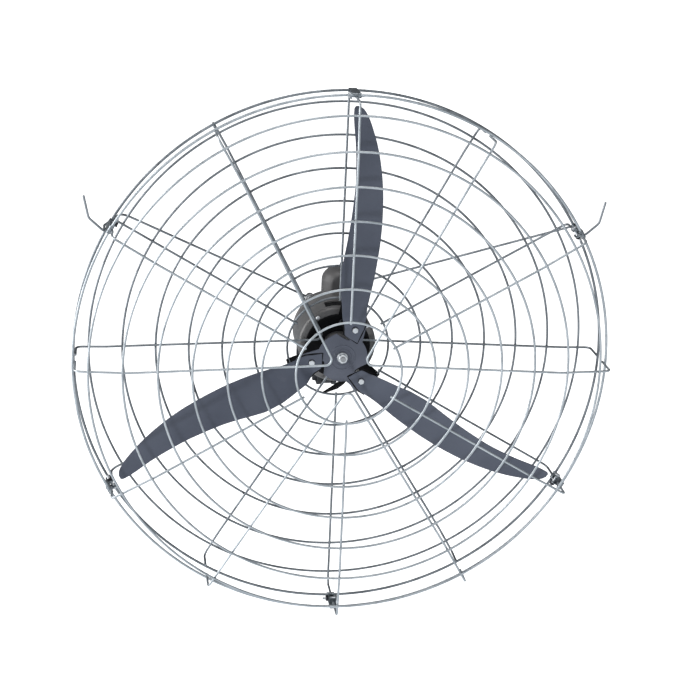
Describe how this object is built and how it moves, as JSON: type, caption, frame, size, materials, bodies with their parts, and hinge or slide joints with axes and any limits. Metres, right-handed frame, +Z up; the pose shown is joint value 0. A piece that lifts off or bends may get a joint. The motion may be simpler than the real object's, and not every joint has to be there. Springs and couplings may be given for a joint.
{
  "type": "wall fan",
  "caption": "Oscillating wall fan: chromed wire guards, slim slate blades on a plate hub, motor, gearbox and tilting wall bracket.",
  "frame": {"origin": "centre of the wall plate on its back face, the face that lies on the wall", "axes": "+Z up along the wall, +Y into the wall, -Y the way the air leaves, +X to the right for someone facing the fan"},
  "size_m": [0.804, 0.4377, 0.8072],
  "materials": {
    "bracket_black": "satin powder coat",
    "casting_grey": "semi-gloss enamel on a casting",
    "motor_paint": "semi-gloss enamel",
    "carrier_black": "satin",
    "guard_wire": "bright plated wire",
    "stay_wire": "satin",
    "steel": "machined",
    "zinc": "zinc plated",
    "dark_zinc": "dark plated",
    "hub_paint": "satin slate paint",
    "blade_paint": "satin slate paint",
    "brass": "cut gear",
    "copper": "enamelled wire",
    "lamination": "stacked sheet",
    "black_plastic": "moulded",
    "clip_zinc": "zinc plated sheet"
  },
  "bodies": {
    "bracket": {"wall_plate": "bracket_black", "wall_arm": "bracket_black", "tilt_bolt": "zinc", "tilt_nut": "zinc"},
    "neck": {"tilt_neck": "bracket_black", "neck_post": "steel"},
    "head": {"gearbox_housing": "casting_grey", "gearbox_cover": "black_plastic", "cover_screws": "zinc", "cable_gland": "black_plastic", "motor_shell": "motor_paint", "motor_front_cover": "motor_paint", "motor_rear_cover": "motor_paint", "tie_screws": "zinc", "stator_core": "lamination", "stator_coils": "copper", "front_bearing": "steel", "rear_bearing": "steel", "guard_carrier": "carrier_black", "carrier_screws": "dark_zinc", "rear_guard": "guard_wire", "front_guard": "guard_wire", "stay_rod_left": "stay_wire", "stay_rod_right": "stay_wire", "stay_screws": "zinc", "rim_clip_1": "clip_zinc", "rim_clip_2": "clip_zinc", "rim_clip_3": "clip_zinc", "rim_clip_4": "clip_zinc", "rim_clip_5": "clip_zinc", "rim_clip_6": "clip_zinc", "clip_screws": "dark_zinc", "clip_nuts": "dark_zinc"},
    "rotor": {"motor_shaft": "steel", "rotor_core": "lamination", "worm": "steel", "hub_boss": "steel", "hub_plate": "hub_paint", "hub_washer": "zinc", "hub_nut": "zinc", "blade_1": "blade_paint", "blade_2": "blade_paint", "blade_3": "blade_paint", "blade_screws": "zinc", "blade_nuts": "zinc"},
    "gear": {"worm_wheel": "brass", "gear_shaft": "steel"},
    "knob": {"oscillation_knob": "black_plastic"}
  },
  "joints": [
    {"name": "tilt", "type": "hinge", "parent": "bracket", "child": "neck", "pos_m": [0, -0.183, -0.013], "axis": [1, 0, 0], "range_deg": [-10, 20]},
    {"name": "swing", "type": "hinge", "parent": "neck", "child": "head", "pos_m": [0, -0.183, 0.015], "axis": [0, 0, 1], "range_deg": [-40, 40]},
    {"name": "spin", "type": "hinge", "parent": "head", "child": "rotor", "pos_m": [0, -0.25, 0.075], "axis": [0, 1, 0], "continuous": true},
    {"name": "gear_turn", "type": "hinge", "parent": "head", "child": "gear", "pos_m": [0.02, -0.179, 0.075], "axis": [0, 0, 1], "continuous": true},
    {"name": "knob_pull", "type": "slide", "parent": "head", "child": "knob", "axis": [0, 0, 1], "range_m": [0, 0.006]}
  ],
  "couplings": [
    {"joint": "gear_turn", "follows": "spin", "ratio": 0.025}
  ]
}
